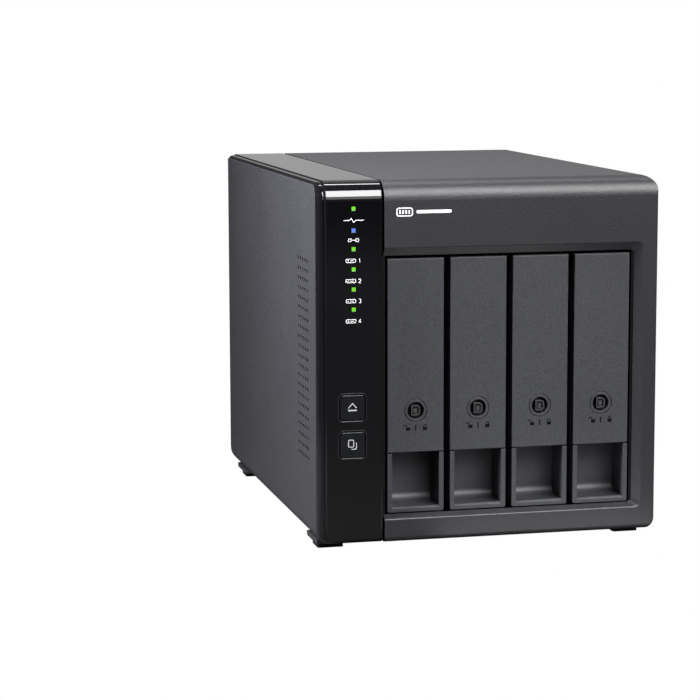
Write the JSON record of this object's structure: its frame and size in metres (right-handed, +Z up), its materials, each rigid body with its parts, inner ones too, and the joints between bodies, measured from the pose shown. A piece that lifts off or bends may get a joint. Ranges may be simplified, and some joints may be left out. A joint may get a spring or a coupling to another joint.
{
  "type": "nas enclosure",
  "caption": "Desktop drive enclosure: textured case, gloss control strip with indicators and buttons, upright lockable drive trays with lever handles, rear fan and ports.",
  "frame": {"origin": "on the desk, under the middle of the case", "axes": "+Z up, -Y out of the front, +X to the right as seen from the front"},
  "size_m": [0.16, 0.219, 0.1685],
  "materials": {
    "case_textured": "fine spark-eroded texture",
    "tray_textured": "fine spark-eroded texture",
    "carrier_plastic": "satin",
    "gloss_black": "high gloss",
    "gloss_button": "high gloss",
    "black_inner": "satin",
    "lock_plastic": "satin",
    "circuit_board": "solder resist",
    "lamp_green": "clear light pipe, lit",
    "lamp_blue": "clear light pipe, lit",
    "chip_white": "moulded",
    "chip_black": "moulded",
    "switch_black": "moulded",
    "connector_black": "moulded",
    "cage_steel": "black coat",
    "rear_steel": "fine black powder coat",
    "port_steel": "plated",
    "screw_steel": "zinc plated",
    "screw_black": "black oxide",
    "brass_fittings": "turned",
    "heat_sink_aluminium": "extruded",
    "dip_body": "moulded",
    "dip_lever": "moulded",
    "rear_button": "satin",
    "fan_plastic": "satin",
    "fan_blades": "satin",
    "foot_rubber": "matt"
  },
  "bodies": {
    "case": {"main_shell": "case_textured", "left_side_panel": "case_textured", "foot_plinths": "case_textured", "gloss_strip": "gloss_black", "bezel_frame": "black_inner", "indicator_board": "circuit_board", "backplane_board": "circuit_board", "main_board": "circuit_board", "lens_green": "lamp_green", "lens_blue": "lamp_blue", "led_chips": "chip_white", "tact_switches": "switch_black", "cage_sides": "cage_steel", "cage_plates": "cage_steel", "guide_rails": "black_inner", "sata_connectors": "connector_black", "board_standoffs": "brass_fittings", "board_screws": "screw_steel", "bridge_chip": "chip_black", "heat_sink": "heat_sink_aluminium", "usb_c_port": "port_steel", "dc_jack": "connector_black", "dip_switch_body": "dip_body", "rear_panel": "rear_steel", "rear_screws": "screw_black", "fan_screws": "screw_black", "fan_frame": "fan_plastic", "rubber_feet": "foot_rubber"},
    "tray_1": {"tray_front_1": "tray_textured", "tray_carrier_1": "carrier_plastic", "handle_pin_1": "screw_steel"},
    "handle_1": {"tray_handle_1": "tray_textured", "lock_ring_1": "tray_textured"},
    "lock_1": {"lock_core_1": "lock_plastic"},
    "tray_2": {"tray_front_2": "tray_textured", "tray_carrier_2": "carrier_plastic", "handle_pin_2": "screw_steel"},
    "handle_2": {"tray_handle_2": "tray_textured", "lock_ring_2": "tray_textured"},
    "lock_2": {"lock_core_2": "lock_plastic"},
    "tray_3": {"tray_front_3": "tray_textured", "tray_carrier_3": "carrier_plastic", "handle_pin_3": "screw_steel"},
    "handle_3": {"tray_handle_3": "tray_textured", "lock_ring_3": "tray_textured"},
    "lock_3": {"lock_core_3": "lock_plastic"},
    "tray_4": {"tray_front_4": "tray_textured", "tray_carrier_4": "carrier_plastic", "handle_pin_4": "screw_steel"},
    "handle_4": {"tray_handle_4": "tray_textured", "lock_ring_4": "tray_textured"},
    "lock_4": {"lock_core_4": "lock_plastic"},
    "eject": {"eject_button": "gloss_button"},
    "copy": {"copy_button": "gloss_button"},
    "power": {"power_button": "rear_button"},
    "set": {"set_button": "rear_button"},
    "dip_1": {"dip_slider_1": "dip_lever"},
    "dip_2": {"dip_slider_2": "dip_lever"},
    "dip_3": {"dip_slider_3": "dip_lever"},
    "fan": {"fan_impeller": "fan_blades"}
  },
  "joints": [
    {"name": "tray_1_slide", "type": "slide", "parent": "case", "child": "tray_1", "axis": [0, -1, 0], "range_m": [0, 0.165]},
    {"name": "handle_1_swing", "type": "hinge", "parent": "tray_1", "child": "handle_1", "pos_m": [-0.03401, -0.1005, 0.1292], "axis": [-1, 0, 0], "range_deg": [0, 80]},
    {"name": "lock_1_turn", "type": "hinge", "parent": "handle_1", "child": "lock_1", "pos_m": [-0.03401, -0.1, 0.0638], "axis": [0, 1, 0], "range_deg": [0, 90]},
    {"name": "tray_2_slide", "type": "slide", "parent": "case", "child": "tray_2", "axis": [0, -1, 0], "range_m": [0, 0.165]},
    {"name": "handle_2_swing", "type": "hinge", "parent": "tray_2", "child": "handle_2", "pos_m": [-0.00456, -0.1005, 0.1292], "axis": [-1, 0, 0], "range_deg": [0, 80]},
    {"name": "lock_2_turn", "type": "hinge", "parent": "handle_2", "child": "lock_2", "pos_m": [-0.00456, -0.1, 0.0638], "axis": [0, 1, 0], "range_deg": [0, 90]},
    {"name": "tray_3_slide", "type": "slide", "parent": "case", "child": "tray_3", "axis": [0, -1, 0], "range_m": [0, 0.165]},
    {"name": "handle_3_swing", "type": "hinge", "parent": "tray_3", "child": "handle_3", "pos_m": [0.0249, -0.1005, 0.1292], "axis": [-1, 0, 0], "range_deg": [0, 80]},
    {"name": "lock_3_turn", "type": "hinge", "parent": "handle_3", "child": "lock_3", "pos_m": [0.0249, -0.1, 0.0638], "axis": [0, 1, 0], "range_deg": [0, 90]},
    {"name": "tray_4_slide", "type": "slide", "parent": "case", "child": "tray_4", "axis": [0, -1, 0], "range_m": [0, 0.165]},
    {"name": "handle_4_swing", "type": "hinge", "parent": "tray_4", "child": "handle_4", "pos_m": [0.05434, -0.1005, 0.1292], "axis": [-1, 0, 0], "range_deg": [0, 80]},
    {"name": "lock_4_turn", "type": "hinge", "parent": "handle_4", "child": "lock_4", "pos_m": [0.05434, -0.1, 0.0638], "axis": [0, 1, 0], "range_deg": [0, 90]},
    {"name": "eject_press", "type": "slide", "parent": "case", "child": "eject", "axis": [0, 1, 0], "range_m": [0, 0.001], "stiffness_N_per_m": 400},
    {"name": "copy_press", "type": "slide", "parent": "case", "child": "copy", "axis": [0, 1, 0], "range_m": [0, 0.001], "stiffness_N_per_m": 400},
    {"name": "power_press", "type": "slide", "parent": "case", "child": "power", "axis": [0, -1, 0], "range_m": [0, 0.001], "stiffness_N_per_m": 400},
    {"name": "set_press", "type": "slide", "parent": "case", "child": "set", "axis": [0, -1, 0], "range_m": [0, 0.001], "stiffness_N_per_m": 400},
    {"name": "dip_1_slide", "type": "slide", "parent": "case", "child": "dip_1", "axis": [0, 0, 1], "range_m": [0, 0.002]},
    {"name": "dip_2_slide", "type": "slide", "parent": "case", "child": "dip_2", "axis": [0, 0, 1], "range_m": [0, 0.002]},
    {"name": "dip_3_slide", "type": "slide", "parent": "case", "child": "dip_3", "axis": [0, 0, 1], "range_m": [0, 0.002]},
    {"name": "fan_spin", "type": "hinge", "parent": "case", "child": "fan", "pos_m": [0.014, 0.09, 0.085], "axis": [0, 1, 0], "continuous": true}
  ]
}
